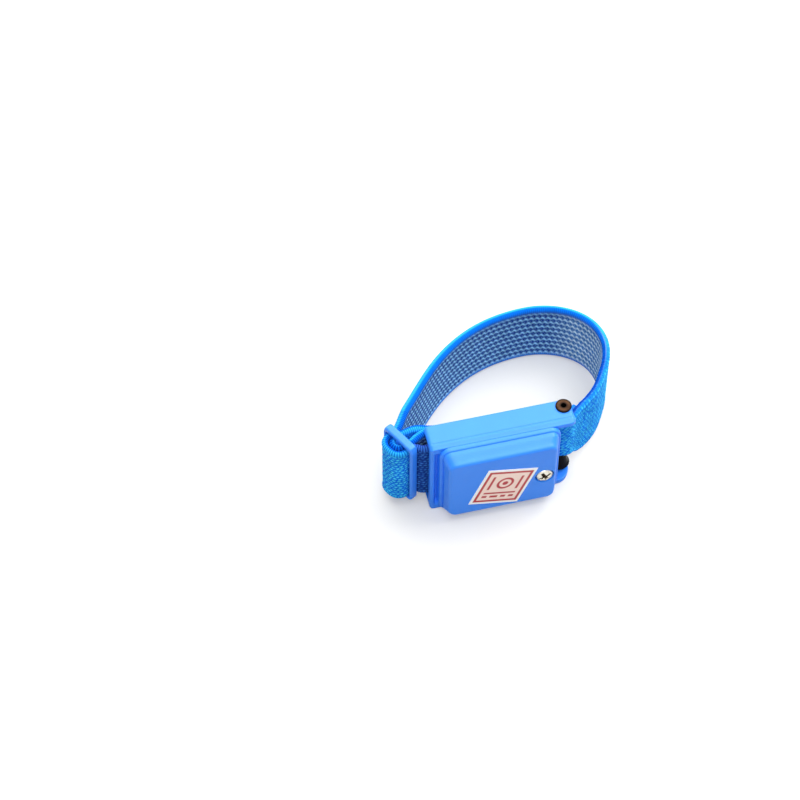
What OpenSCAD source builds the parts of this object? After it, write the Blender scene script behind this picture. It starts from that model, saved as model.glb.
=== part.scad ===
// Anti-static wrist strap: an elastic band whose doubled end carries a three-bar adjuster and a
// folded steel clip, and a moulded housing that holds the series resistor. Millimetres, +Z up.
// The strap stands on edge. The origin is the middle of the housing's lower end, X runs along the
// housing, -Y is its outer face and +Y points into the loop, towards the wrist.

/* [Band] */
// Width of the band
band_w = 20; // [18:0.5:21]
// Thickness of the band
band_t = 1.7; // [1.4:0.1:1.9]
// Thickness of the band where it is squeezed through the adjuster
fold_t = 1.3; // [1.1:0.1:1.4]
// How far the loop reaches behind the origin
loop_reach = 38.7; // [32:0.5:60]
// How far the loop swells past the pivot, along the housing
loop_swell = 17.2; // [12:0.2:24]
// Length of the doubled end that lies behind the clip
stub_l = 4.3; // [3.5:0.1:5]
// Width of the gathered end that is sewn round the pivot
root_w = 14; // [12:0.5:16]

/* [Housing channel] */
// Length of the channel, along the wrist
base_l = 38.2; // [37:0.2:46]
// Depth of the channel, towards the wrist
base_t = 7.6; // [7.5:0.1:9]
// Thickness of the top and bottom flanges
flange_t = 1.5; // [1.2:0.1:1.6]
// Thickness of the web between the flanges
web_t = 1.9; // [1.6:0.1:2]
// Radius of the channel's corners, seen from the front
base_r = 1.1; // [0.6:0.1:1.4]
// Radius of the ears round the pivot
ear_r = 2.1; // [2.1:0.05:2.6]
// Radius of the ears' front corners
ear_front_r = 1.6; // [1:0.1:2.2]
// Width of the decorative groove on each flange
groove_w = 0.4; // [0.3:0.05:0.6]
// Depth of the decorative groove
groove_d = 0.2; // [0.1:0.05:0.4]

/* [Resistor module] */
// Length of the module's lid
lid_l = 32; // [30:0.2:33]
// From the channel's upper and lower ends to the lid
lid_in = 0.75; // [0.5:0.05:1.2]
// Thickness of the lid
lid_t = 1.2; // [1:0.1:1.4]
// Corner radius of the lid
lid_r = 3; // [2:0.1:4]
// Distance of the lid's middle from the origin, towards the clip
lid_shift = 0.9; // [0.4:0.1:1.4]
// Step between the lid's edge and the shell
lid_step = 0.7; // [0.4:0.1:1]
// Depth of the shell in front of the lid
shell_d = 4; // [3.8:0.1:5]
// Length that the shell loses from the lid to its front face
draft_l = 3.4; // [3:0.1:5]
// Height that the shell loses from the lid to its front face
draft_h = 2.9; // [2.2:0.1:4]
// Distance of the face's middle from the origin, towards the clip
face_shift = 1.2; // [1:0.1:1.6]
// Height of the face's middle above the channel's middle
face_lift = 0.7; // [0:0.1:1]
// Corner radius of the shell's front face
face_r = 2.4; // [2:0.1:3]
// Radius of the rounded rim of the front face
rim_r = 1; // [0.8:0.1:1.6]
// Wall of the shell
shell_wall = 1.3; // [1.1:0.1:1.5]

/* [Terminal] */
// From the lid's pivot end to the terminal screw
term_in = 5.3; // [5.1:0.1:6]
// Height of the terminal screw below the channel's middle
term_drop = 0.55; // [0:0.05:1.5]
// Thread diameter of the terminal screw
screw_d = 2.5; // [2:0.1:2.6]
// Length of the screw under its head
screw_l = 3; // [2.8:0.1:3.1]
// Diameter of the screw's head
head_d = 4.6; // [4:0.1:4.8]
// Height of the screw's head
head_h = 1.7; // [1.4:0.1:1.9]
// Diameter of the recess round the head
recess_d = 5.1; // [5:0.1:5.4]
// Depth of the recess
recess_h = 2; // [1.8:0.1:2.2]
// Thickness of the recess's floor
floor_t = 1.2; // [1:0.1:1.3]
// Thickness of the ring terminal
ring_t = 0.4; // [0.3:0.1:0.5]
// Outer diameter of the ring terminal
ring_d = 5; // [4.6:0.1:5.4]
// Length of the ring terminal's tail, from the screw
tail_l = 5.4; // [5:0.1:6]
// Side of the square nut
nut_s = 4.4; // [4:0.1:4.8]

/* [Resistor] */
// Length of the resistor's body
res_l = 5.4; // [4:0.1:6]
// Diameter of the resistor's body
res_d = 2; // [1.8:0.1:2.1]
// Diameter of its leads
lead_d = 0.6; // [0.5:0.05:0.7]

/* [Steel clip] */
// Thickness of the clip's steel
steel_t = 0.5; // [0.4:0.05:0.6]
// Overall thickness of the folded tongue
tongue_t = 1.4; // [1.3:0.1:1.6]
// Length of the tongue that is inside the housing
tongue_l = 9.5; // [8:0.1:10]
// Outer diameter of the rolled bar that the band goes round
roll_d = 2.8; // [2.4:0.1:3]
// Width of the clip's slot beside the rolled bar
slot_w = 2.7; // [2.6:0.1:3]
// Height of the clip's cheeks, above and below its slot
cheek_h = 1.25; // [1:0.05:2]
// Distance from the channel's end to the rolled bar's axis
roll_inset = 2.5; // [2:0.1:3]
// Distance of the clip's middle behind the origin
clip_y = 2.4; // [2.3:0.1:2.6]

/* [Adjuster] */
// Length of the adjuster, along the band
adj_l = 11.8; // [11.4:0.1:14]
// Thickness of the adjuster's bars, through the band
adj_t = 2.3; // [2:0.1:2.4]
// Width of each bar
adj_bar = 1.5; // [1.3:0.1:1.6]
// Outer corner radius of the frame
adj_r = 2.2; // [1.8:0.1:2.6]
// Angle of the adjuster to the housing
adj_turn = 61.9; // [58:0.1:64]
// Distance from the channel's clip end to the adjuster's middle
adj_out = 6.1; // [5.8:0.1:8]
// Distance of the adjuster's middle behind the origin
adj_y = 3.4; // [3.2:0.1:3.8]

/* [Skin plate] */
// Thickness of the skin plate
plate_t = 0.5; // [0.4:0.1:0.6]
// Length of the skin plate
plate_l = 24; // [22:0.2:25]
// Corner radius of the skin plate
plate_r = 2; // [1:0.1:3]

/* [Pivot] */
// Outer diameter of the tubular rivet
rivet_d = 2; // [1.8:0.1:2.2]
// Bore of the tubular rivet
rivet_bore = 1.4; // [1.2:0.1:1.5]
// Diameter of the rivet's rolled heads
rivet_head_d = 4.2; // [3.8:0.1:4.3]
// Diameter of the rivet's lower head, which sits in a counterbore
foot_head_d = 3.4; // [3:0.1:3.6]
// Height of the rivet's heads
rivet_head_h = 0.45; // [0.35:0.05:0.5]
// Wall of the black sleeve
sleeve_wall = 0.4; // [0.35:0.05:0.5]

/* [Small fasteners] */
// Diameter of the self-tapping screws that hold the module
case_shank_d = 1.4; // [1.2:0.1:1.5]
// Diameter of their heads
case_head_d = 2.8; // [2.4:0.1:3]
// Height of their heads
case_head_h = 0.8; // [0.6:0.1:0.9]
// How deep they bite into the shell
case_bite = 1.8; // [1.6:0.1:1.9]
// Diameter of the skin plate's screws
plate_shank_d = 1.2; // [1:0.1:1.3]
// Diameter of their heads
plate_head_d = 2.6; // [2.2:0.1:2.8]
// Height of their heads
plate_head_h = 0.4; // [0.3:0.1:0.5]
// How deep they bite into the channel's posts
plate_bite = 2.5; // [2:0.1:2.8]
// Thickness of the sewing thread
thread_t = 0.25; // [0.2:0.05:0.3]

/* [Label] */
// Length of the label's upper and lower edges
label_l = 13.4; // [12:0.1:13.6]
// Length of the label's slanted edges
label_s = 14.4; // [13:0.1:14.6]
// Slope of the label's upper and lower edges, downwards
label_tilt = 13; // [10:0.5:14]
// Angle of the slanted edges to the horizontal
label_lean = 69.4; // [66:0.1:72]
// Thickness of the label
label_t = 0.15; // [0.1:0.05:0.2]

/* [Clearances] */
// Gap between a moving piece and what it runs past
run_gap = 0.3; // [0.25:0.05:0.35]
// Gap between the band and the hardware that it goes round
band_gap = 0.2; // [0.15:0.05:0.25]
// Gap between two layers of band that are sewn together
layer_gap = 0.15; // [0.1:0.05:0.2]
// Gap between the sewing thread and the band's face
thread_gap = 0.03; // [0.02:0.01:0.05]
// Radial running clearance of the sleeve on the rivet
pivot_fit = 0.05; // [0.02:0.01:0.1]
// Radial clearance of a screw in a plain hole
hole_fit = 0.1; // [0.05:0.05:0.15]
// Gap between the contact leaf and the clip
leaf_gap = 0.1; // [0.05:0.05:0.15]

/* [Hidden] */

slot_h = band_w + 2 * band_gap;
clip_h = slot_h + 2 * cheek_h;
base_h = clip_h + 2 * (run_gap + flange_t);
z_mid = base_h / 2;
front_y = -base_t / 2;
web_y = front_y + web_t;
pivot = [base_l / 2 - ear_r, base_t / 2 - ear_r];
sleeve_in = rivet_d / 2 + pivot_fit;
sleeve_out = sleeve_in + sleeve_wall;
root_radius = sleeve_out + band_gap + band_t / 2;
web_end = pivot[0] - root_radius - band_t / 2 - run_gap;

lid_x = -lid_shift;
lid_h = base_h - 2 * lid_in;
face_l = lid_l - draft_l;
face_h = lid_h - draft_h;
lid_face = front_y - lid_t;
face_x = -face_shift;
face_z = z_mid + face_lift;
face_y = lid_face - shell_d;
cavity_y = face_y + shell_wall;
recess_y = face_y + recess_h;
floor_y = recess_y + floor_t;
term_x = lid_x + lid_l / 2 - term_in;
term_z = z_mid - term_drop;
nut_t = front_y - floor_y - ring_t;
boss_d = recess_d + 2 * (shell_wall - run_gap);

case_screw_at = [[lid_x - 0.3156 * lid_l, z_mid + 0.24 * lid_h],
                 [lid_x + 0.1375 * lid_l, z_mid - 0.24 * lid_h]];
case_boss_d = case_shank_d + 1.8;
post_d = plate_shank_d + 1.8;

roll = [-base_l / 2 + roll_inset, clip_y];
slot_x = roll[0] + roll_d / 2;
tongue_x = slot_x + slot_w;
nose_x = tongue_x + tongue_l;
rail_x = tongue_x + 0.6;
rail_z = 2;
stop_t = 1.2;
plate_y = clip_y + tongue_t / 2 + run_gap;
plate_x = rail_x + plate_l / 2;
plate_h = clip_h;
plate_screw_at = [for (side = [-1, 1]) [plate_x + 0.3542 * plate_l, z_mid + side * 0.3057 * plate_h]];

leaf_t = 0.3;
leaf_h = 6;
lead_x = rail_x + 5.9;
leaf_foot = [lead_x - 1.4, lead_x + 2.5];
res_x = term_x - 9.2;
res_y = floor_y - lead_d / 2;
tail_x = term_x - tail_l;

adj = [-base_l / 2 - adj_out, adj_y];
adj_h = band_w + 2 * band_gap + 2 * adj_bar;
bend_r = adj_r - adj_bar / 2;

// --- helpers ------------------------------------------------------------------------------

// A rectangle with round corners, in the plane
module rounded_rect(w, h, r) {
    square([w - 2 * r, h], center = true);
    square([w, h - 2 * r], center = true);
    for (sx = [-1, 1], sy = [-1, 1])
        translate([sx * (w / 2 - r), sy * (h / 2 - r)]) circle(r, $fn = 48);
}

// Raises a front-view outline (x, z) from the plane y = back towards the front by depth
module to_front(back, depth) {
    translate([0, back, 0]) rotate([90, 0, 0]) linear_extrude(depth) children();
}

// A round bar along Y, from back towards the front
module rod(x, z, back, depth, d) {
    translate([x, back, z]) rotate([90, 0, 0]) cylinder(h = depth, d = d, $fn = 48);
}

// --- housing ------------------------------------------------------------------------------

// Plan of the channel: ears rounded about the pivot, small corners at the clip's mouth
module channel_plan() {
    mouth_r = 0.6;
    x0 = -base_l / 2;
    x1 = base_l / 2;
    y1 = base_t / 2;
    translate([x0, front_y + mouth_r]) square([pivot[0] - x0, base_t - 2 * mouth_r]);
    translate([x0 + mouth_r, front_y]) square([x1 - ear_front_r - x0 - mouth_r, base_t]
        - [ear_r - ear_front_r, 0]);
    translate([x0 + mouth_r, front_y]) square([x1 - ear_front_r - x0 - mouth_r, pivot[1] - front_y]);
    translate([0, front_y + ear_front_r]) square([x1, pivot[1] - front_y - ear_front_r]);
    for (y = [front_y + mouth_r, y1 - mouth_r])
        translate([x0 + mouth_r, y]) circle(mouth_r, $fn = 32);
    translate([x1 - ear_front_r, front_y + ear_front_r]) circle(ear_front_r, $fn = 48);
    translate(pivot) circle(ear_r, $fn = 64);
}

// Guide rails for the clip's tongue, each ending in a stop for its nose
module guide_rails() {
    rail_y = clip_y - tongue_t / 2 - run_gap;
    stop_x = nose_x + run_gap;
    outline = [[rail_x, web_y - 0.5], [stop_x + stop_t, web_y - 0.5], [stop_x + stop_t, plate_y],
               [stop_x, plate_y], [stop_x, rail_y], [rail_x, rail_y]];
    for (z = [flange_t + 0.8, base_h - flange_t - 0.8 - rail_z])
        translate([0, 0, z]) linear_extrude(rail_z) polygon(outline);
}

module base_channel() {
    inner_h = base_h - 2 * flange_t;
    color("royalblue") difference() {
        union() {
            difference() {
                intersection() {
                    to_front(base_t / 2, base_t) translate([0, z_mid])
                        rounded_rect(base_l, base_h, base_r);
                    linear_extrude(base_h) channel_plan();
                }
                translate([-base_l, web_y, flange_t]) cube([2 * base_l, base_t, inner_h]);
                translate([web_end, front_y - 1, flange_t]) cube([base_l, base_t, inner_h]);
            }
            guide_rails();
            for (p = plate_screw_at) rod(p[0], p[1], plate_y, plate_y - web_y + 0.5, post_d);
            rod(leaf_foot[1] - 0.8, z_mid, web_y + leaf_t + 0.3, leaf_t + 0.8, 1);
        }
        for (z = [-1, base_h - groove_d])
            translate([-base_l, web_y - groove_w / 2, z]) cube([2 * base_l, groove_w, groove_d + 1]);
        translate([pivot[0], pivot[1], -1]) cylinder(h = base_h + 2, d = rivet_d, $fn = 64);
        translate([pivot[0], pivot[1], -1])
            cylinder(h = 1 + rivet_head_h, d = foot_head_d + 2 * hole_fit, $fn = 64);
        for (p = case_screw_at) rod(p[0], p[1], base_t, 2 * base_t, case_shank_d + 2 * hole_fit);
        for (p = plate_screw_at) rod(p[0], p[1], plate_y + 1, plate_bite + 1.5, plate_shank_d);
        rod(lead_x, z_mid, web_y + 1, web_t + 2, lead_d + 4 * hole_fit);
    }
}

module module_lid() {
    color("royalblue") difference() {
        to_front(front_y, lid_t) translate([lid_x, z_mid]) rounded_rect(lid_l, lid_h, lid_r);
        to_front(front_y + 1, lid_t + 2) translate([term_x, term_z])
            square(nut_s + 2 * hole_fit, center = true);
        for (p = case_screw_at) rod(p[0], p[1], base_t, 3 * base_t, case_shank_d + 2 * hole_fit);
        rod(lead_x, z_mid, front_y + 1, lid_t + 2, lead_d + 4 * hole_fit);
    }
}

// Outside of the drafted shell: a round-cornered back and a smaller front with a rounded rim
module shell_block() {
    back_l = lid_l - 2 * lid_step;
    back_h = lid_h - 2 * lid_step;
    hull() {
        to_front(lid_face, 0.6) translate([lid_x, z_mid])
            rounded_rect(back_l, back_h, lid_r - lid_step);
        for (sx = [-1, 1], sz = [-1, 1])
            translate([face_x + sx * (face_l / 2 - face_r), face_y, face_z + sz * (face_h / 2 - face_r)])
                rotate([-90, 0, 0]) rotate_extrude($fn = 36) {
                    square([face_r - rim_r, rim_r]);
                    intersection() {
                        translate([face_r - rim_r, rim_r]) circle(rim_r, $fn = 32);
                        square([face_r, rim_r]);
                    }
                }
    }
}

module module_shell() {
    room_l = face_l - 2 * (shell_wall + run_gap);
    room_h = face_h - 2 * (shell_wall + run_gap);
    color("royalblue") difference() {
        shell_block();
        difference() {
            to_front(lid_face + 1, lid_face + 1 - cavity_y) translate([face_x, face_z])
                rounded_rect(room_l, room_h, 1.2);
            rod(term_x, term_z, floor_y, floor_y - face_y, boss_d);
            for (p = case_screw_at) rod(p[0], p[1], lid_face, lid_face - face_y, case_boss_d);
        }
        to_front(lid_face + 1, lid_face + 1 - floor_y) translate([term_x, term_z])
            square(ring_d + 2 * run_gap, center = true);
        rod(term_x, term_z, recess_y, recess_h + 1, recess_d);
        rod(term_x, term_z, floor_y + 1, floor_t + 2, screw_d + 2 * hole_fit);
        for (p = case_screw_at) rod(p[0], p[1], lid_face + 1, case_bite + 1, case_shank_d);
    }
}

module label() {
    run = [label_l * cos(label_tilt), -label_l * sin(label_tilt)];
    rise = [label_s * cos(label_lean), label_s * sin(label_lean)];
    low_left = [face_x - 9.1, face_z - 7.05];
    color("mistyrose") to_front(face_y, label_t) translate(low_left)
        polygon([[0, 0], run, run + rise, rise]);
}

module terminal_screw() {
    slot_w_x = 0.6;
    slot_l_x = 2.7;
    slot_d = 0.9;
    dome = head_h * 0.45;
    color("silver") difference() {
        translate([term_x, recess_y, term_z]) rotate([90, 0, 0]) {
            rotate_extrude($fn = 64) difference() {
                union() {
                    square([head_d / 2, head_h - dome]);
                    intersection() {
                        translate([0, head_h - head_d * 1.05]) circle(head_d * 1.05, $fn = 96);
                        square([head_d / 2, head_h]);
                    }
                }
            }
            translate([0, 0, -screw_l]) cylinder(h = screw_l, d = screw_d, $fn = 48);
        }
        for (turn = [20, 110])
            translate([term_x, recess_y - head_h, term_z]) rotate([0, turn, 0])
                cube([slot_l_x, 2 * slot_d, slot_w_x], center = true);
    }
}

module ring_terminal() {
    color("gold") to_front(floor_y + ring_t, ring_t) difference() {
        union() {
            translate([term_x, term_z]) circle(d = ring_d, $fn = 48);
            translate([tail_x, term_z - 1]) square([term_x - tail_x, 2]);
        }
        translate([term_x, term_z]) circle(d = screw_d + 2 * hole_fit, $fn = 48);
    }
}

module terminal_nut() {
    color("goldenrod") difference() {
        to_front(front_y, nut_t) translate([term_x, term_z]) square(nut_s, center = true);
        rod(term_x, term_z, front_y + 1, nut_t + 2, screw_d);
    }
}

module resistor() {
    cap_l = 1.2;
    waist_d = res_d - 0.3;
    color("burlywood") translate([res_x - res_l / 2, res_y, z_mid]) rotate([0, 90, 0]) {
        cylinder(h = res_l, d = waist_d, $fn = 40);
        for (x = [0, res_l - cap_l]) translate([0, 0, x]) cylinder(h = cap_l, d = res_d, $fn = 40);
    }
}

// Both leads: one goes through the web to the contact leaf, one lies on the ring terminal's tail
module resistor_leads() {
    body_half = res_l / 2;
    end_x = term_x - boss_d / 2 - hole_fit;
    color("silver") {
        translate([lead_x, res_y, z_mid]) rotate([0, 90, 0])
            cylinder(h = res_x - body_half - lead_x, d = lead_d, $fn = 24);
        translate([lead_x, res_y, z_mid]) sphere(d = lead_d, $fn = 24);
        rod(lead_x, z_mid, web_y, web_y - res_y, lead_d);
        translate([res_x + body_half, res_y, z_mid]) rotate([0, 90, 0])
            cylinder(h = end_x - res_x - body_half, d = lead_d, $fn = 24);
    }
}

// Bronze leaf: a foot staked on the web, one arm to the clip's tongue, one arm to the skin plate
module contact_leaf() {
    clip_pad_y = clip_y - tongue_t / 2 - leaf_gap;
    pad_l = 2.2;
    ramp = 1.8;
    x0 = leaf_foot[0];
    x1 = leaf_foot[1];
    top = web_y + leaf_t;
    outline = [
        [x0 - ramp - pad_l, clip_pad_y - leaf_t], [x0 - ramp, clip_pad_y - leaf_t], [x0, web_y],
        [x1, web_y], [x1 + 2 * ramp, plate_y - leaf_t], [x1 + 2 * ramp + pad_l, plate_y - leaf_t],
        [x1 + 2 * ramp + pad_l, plate_y], [x1 + 2 * ramp - 0.1, plate_y], [x1 - 0.1, top],
        [x0 + 0.1, top], [x0 - ramp + 0.1, clip_pad_y], [x0 - ramp - pad_l, clip_pad_y]];
    color("peru") difference() {
        translate([0, 0, z_mid - leaf_h / 2]) linear_extrude(leaf_h) polygon(outline);
        rod(x1 - 0.8, z_mid, web_y + 2, 4, 1);
    }
}

module skin_plate() {
    color("gainsboro") difference() {
        to_front(plate_y + plate_t, plate_t) translate([plate_x, z_mid])
            rounded_rect(plate_l, plate_h, plate_r);
        for (p = plate_screw_at)
            rod(p[0], p[1], plate_y + 1, 2, plate_shank_d + 2 * hole_fit);
    }
}

module plate_screws() {
    color("silver") for (p = plate_screw_at) {
        rod(p[0], p[1], plate_y + plate_t, plate_t + plate_bite, plate_shank_d);
        rod(p[0], p[1], plate_y + plate_t + plate_head_h, plate_head_h, plate_head_d);
    }
}

module case_screws() {
    shank_l = web_t + lid_t + case_bite;
    color("silver") for (p = case_screw_at) {
        rod(p[0], p[1], web_y, shank_l, case_shank_d);
        rod(p[0], p[1], web_y + case_head_h, case_head_h, case_head_d);
    }
}

// --- pivot --------------------------------------------------------------------------------

// Tubular rivet with a rolled head at each end; the lower one sits in the ear's counterbore
module pivot_rivet() {
    bore_r = rivet_bore / 2;
    tube_r = rivet_d / 2;
    roll_r = rivet_head_h / 2;
    color("saddlebrown") translate([pivot[0], pivot[1], 0]) rotate_extrude($fn = 64) {
        translate([bore_r, 0]) square([tube_r - bore_r, base_h + rivet_head_h * 0.8]);
        for (head = [[0, foot_head_d], [base_h, rivet_head_d]]) {
            rim = head[1] / 2 - roll_r;
            translate([bore_r, head[0]]) square([rim - bore_r, rivet_head_h]);
            translate([rim, head[0] + roll_r]) circle(roll_r, $fn = 32);
        }
    }
}

module pivot_sleeve() {
    sleeve_h = base_h - 2 * flange_t - 2 * run_gap;
    color("black") translate([pivot[0], pivot[1], flange_t + run_gap]) difference() {
        cylinder(h = sleeve_h, r = sleeve_out, $fn = 64);
        translate([0, 0, -1]) cylinder(h = sleeve_h + 2, r = sleeve_in, $fn = 64);
    }
}

// --- clip ---------------------------------------------------------------------------------

// Plan of the folded leaves: one long leaf, the folded nose and the returning leaf
module clip_leaves() {
    leaf_y = clip_y - tongue_t / 2;
    back_y = clip_y + tongue_t / 2 - steel_t;
    nose_c = nose_x - tongue_t / 2;
    translate([roll[0] + roll_d / 2 - steel_t, leaf_y])
        square([nose_c - roll[0] - roll_d / 2 + steel_t, steel_t]);
    translate([tongue_x, back_y]) square([nose_c - tongue_x, steel_t]);
    intersection() {
        difference() {
            translate([nose_c, clip_y]) circle(d = tongue_t, $fn = 32);
            translate([nose_c, clip_y]) circle(d = tongue_t - 2 * steel_t, $fn = 32);
        }
        translate([nose_c, clip_y - tongue_t]) square([tongue_t, 2 * tongue_t]);
    }
}

module steel_clip() {
    color("lightsteelblue") translate([0, 0, z_mid - clip_h / 2]) {
        difference() {
            linear_extrude(clip_h) clip_leaves();
            translate([slot_x - steel_t / 2, clip_y - roll_d, (clip_h - slot_h) / 2])
                cube([slot_w + steel_t / 2, 2 * roll_d, slot_h]);
        }
        linear_extrude(clip_h) difference() {
            translate(roll) circle(d = roll_d, $fn = 48);
            translate(roll) circle(d = roll_d - 2 * steel_t, $fn = 48);
        }
    }
}

// --- adjuster -----------------------------------------------------------------------------

// A point of the plan in the adjuster's own directions: along its frame and through it
function along(s, n) = adj + s * [cos(adj_turn), -sin(adj_turn)] + n * [sin(adj_turn), cos(adj_turn)];

module bar_section() {
    rounded_rect(adj_bar, adj_t, 0.6);
}

// Three-bar slide: round-cornered frame and a middle bar, all of one moulded section
module adjuster() {
    half_l = adj_l / 2 - adj_bar / 2;
    half_h = adj_h / 2 - adj_bar / 2;
    color("cornflowerblue") translate([adj[0], adj[1], z_mid]) rotate([0, 0, -adj_turn]) {
        for (s = [-half_l, half_l])
            translate([s, 0, -half_h + bend_r]) linear_extrude(2 * (half_h - bend_r)) bar_section();
        translate([0, 0, -half_h]) linear_extrude(2 * half_h) bar_section();
        for (z = [-half_h, half_h])
            translate([-half_l + bend_r, 0, z]) rotate([0, 90, 0])
                linear_extrude(2 * (half_l - bend_r)) bar_section();
        for (s = [0, 1], z = [0, 1]) mirror([s, 0, 0]) mirror([0, 0, z])
            translate([half_l - bend_r, 0, half_h - bend_r]) rotate([90, 0, 0])
                rotate_extrude(angle = 90, $fn = 48) translate([bend_r, 0]) bar_section();
    }
}

// --- band ---------------------------------------------------------------------------------

// Cubic curve from a to d with its two handles, without its last point
function bezier(a, b, c, d, steps) = [for (i = [0 : steps - 1])
    let (t = i / steps, u = 1 - t) u * u * u * a + 3 * u * u * t * b + 3 * u * t * t * c + t * t * t * d];

// Points on an arc about c, from angle a0 to a1
function arc(c, r, a0, a1, steps) = [for (i = [0 : steps])
    let (a = a0 + (a1 - a0) * i / steps) c + r * [cos(a), sin(a)]];

// A smooth curve through hand-set points (Catmull-Rom), without its last point
function through(p, steps) = [for (i = [0 : len(p) - 2], k = [0 : steps - 1])
    let (a = p[max(i - 1, 0)], b = p[i], c = p[i + 1], d = p[min(i + 2, len(p) - 1)], t = k / steps)
    0.5 * (2 * b + (c - a) * t + (2 * a - 5 * b + 4 * c - d) * t * t
           + (3 * b - a - 3 * c + d) * t * t * t)];

// The doubled end: stub, round the middle bar, to the clip
stub_n = adj_t / 2 + band_gap + fold_t / 2;
stub_s = adj_bar / 2 + band_gap + fold_t / 2;
over_s = stub_s + fold_t + layer_gap;
over_n = stub_n + fold_t + layer_gap;
turn_r = roll_d / 2 + band_gap + band_t / 2;
back_y = roll[1] + turn_r;
stub_y = back_y + band_t + layer_gap;
mouth_x = -base_l / 2;
stub_end = mouth_x + stub_l;

stub_path = through([
    [stub_end, stub_y], [mouth_x + 0.349 * stub_l, stub_y], [mouth_x - 1.6, stub_y - 0.05],
    along(-stub_s - 0.1, 2.1), along(-stub_s, 0.4), along(-stub_s * 0.8, -stub_n * 0.75),
    along(0, -stub_n - 0.05), along(stub_s * 0.8, -stub_n * 0.75), along(stub_s, 0),
    along(stub_s + 0.3, 1.7), [mouth_x - 1.6, back_y - 1], [mouth_x + 0.6, back_y],
    [roll[0], back_y]], 4);
turn_path = arc(roll, turn_r, 90, -90, 10);
over_path = through([
    [roll[0] - 1.2, roll[1] - turn_r], [mouth_x - 0.8, roll[1] - turn_r + 0.05],
    [mouth_x - 1.8, roll[1] - turn_r + 0.45], [mouth_x - 2.9, roll[1] - turn_r + 1.1],
    along(over_s + 0.15, 0.1), along(over_s + 0.1, -stub_n),
    along(over_s * 0.62, -over_n), along(0, -over_n - 0.35), along(-over_s * 0.62, -over_n),
    along(-over_s - 0.1, -stub_n), along(-over_s, 0.2)], 4);

// The loop: four cubic curves between the adjuster, the far side, the swell and the pivot
shoulder = adj + loop_reach * [0.1163, 0.2817];
far = [pivot[0] + 0.6, loop_reach];
swell = [pivot[0] + loop_swell, 0.6227 * loop_reach];
root = pivot + [4.4, 2.1];
window = along(-over_s, 0.2);
loop_path = concat(
    bezier(window, window + 2.2 * [sin(adj_turn), cos(adj_turn)], shoulder - 4 * [cos(50), sin(50)],
           shoulder, 8),
    bezier(shoulder, shoulder + 0.3798 * loop_reach * [cos(50), sin(50)],
           far - [0.4961 * loop_reach, 0], far, 22),
    bezier(far, far + [0.4593 * loop_swell, 0], swell + [0, 0.2481 * loop_reach], swell, 14),
    bezier(swell, swell - [0, 0.1938 * loop_reach],
           root + 0.2093 * loop_reach * [cos(34), sin(34)], root, 14));

// The root: round the front of the sleeve and back along the inside of the loop
root_turn = 34;
lap = band_t + layer_gap;
root_in = root + lap * [-sin(root_turn), cos(root_turn)];
root_dir = [cos(root_turn), sin(root_turn)];
lap_start = root_in - 0.7 * root_dir;
wrap_end = pivot + root_radius * [cos(98), sin(98)];
root_path = concat(
    through([root, root + [-1.4, -1.6], pivot + root_radius * [cos(34), -sin(34)]], 4),
    arc(pivot, root_radius, -34, -258, 15),
    bezier(wrap_end, wrap_end + 1.2 * [cos(8), sin(8)], lap_start - 1.2 * root_dir, lap_start, 5),
    [lap_start, root_in, root_in + root_dir]);

band_path = concat(stub_path, turn_path, over_path, loop_path, root_path);
n_fold = len(stub_path);
n_turn = n_fold + len(turn_path);
n_over = n_turn + len(over_path);
n_loop = n_over + len(loop_path);
n_band = len(band_path);

// Smooth step from 0 to 1 between a and b
function ease(x, a, b) = let (t = min(max((x - a) / (b - a), 0), 1)) t * t * (3 - 2 * t);

// The band sags until its lower edge meets the surface at the far side of the loop
band_z = z_mid - band_w / 2;
sag_start = 0.1628 * loop_reach;
function sag(p) = band_z * min(max((p[1] - sag_start) / (loop_reach - sag_start), 0), 1);

// Share of full width lost at the gathered root
function gather(i) = i < n_loop - 14 ? 0 : i > n_loop + 8 ? 1
    : 1 - ease(norm(band_path[i] - pivot), 1.04 * root_radius, 2.8 * root_radius);
function low(i) = band_z - sag(band_path[i]) + gather(i) * (band_w - root_w);
function high(i) = band_z - sag(band_path[i]) + band_w;

// The band is thinner where it goes through the adjuster
function squeeze(i) = i < n_fold ? ease(i, 4, 12) * (1 - ease(i, n_fold - 12, n_fold - 6))
    : i < n_turn ? 0
    : ease(i, n_turn + 4, n_turn + 10) * (1 - ease(i, n_over + 1, n_over + 6));
function thick(i) = band_t + (fold_t - band_t) * squeeze(i);

function heading(i) = let (d = band_path[min(i + 1, n_band - 1)] - band_path[max(i - 1, 0)])
    d / norm(d);

// Eight-sided section with cut corners at one place along the band
edge = 0.5;
function ring(i) = let (p = band_path[i], d = heading(i), h = thick(i) / 2, q = h - edge,
                        side = [-d[1], d[0]], z0 = low(i), z1 = high(i))
    [for (c = [[h, z0 + edge], [h, z1 - edge], [q, z1], [-q, z1],
               [-h, z1 - edge], [-h, z0 + edge], [-q, z0], [q, z0]])
        [p[0] + side[0] * c[0], p[1] + side[1] * c[0], c[1]]];

module elastic_band() {
    points = [for (i = [0 : n_band - 1]) each ring(i)];
    last = 8 * (n_band - 1);
    sides = [for (i = [0 : n_band - 2], k = [0 : 7])
        let (a = 8 * i + k, b = 8 * i + (k + 1) % 8) each [[a, a + 8, b], [b, a + 8, b + 8]]];
    caps = [for (k = [1 : 6]) each [[0, k, k + 1], [last, last + k + 1, last + k]]];
    color("dodgerblue") polyhedron(points, concat(sides, caps));
}

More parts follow.
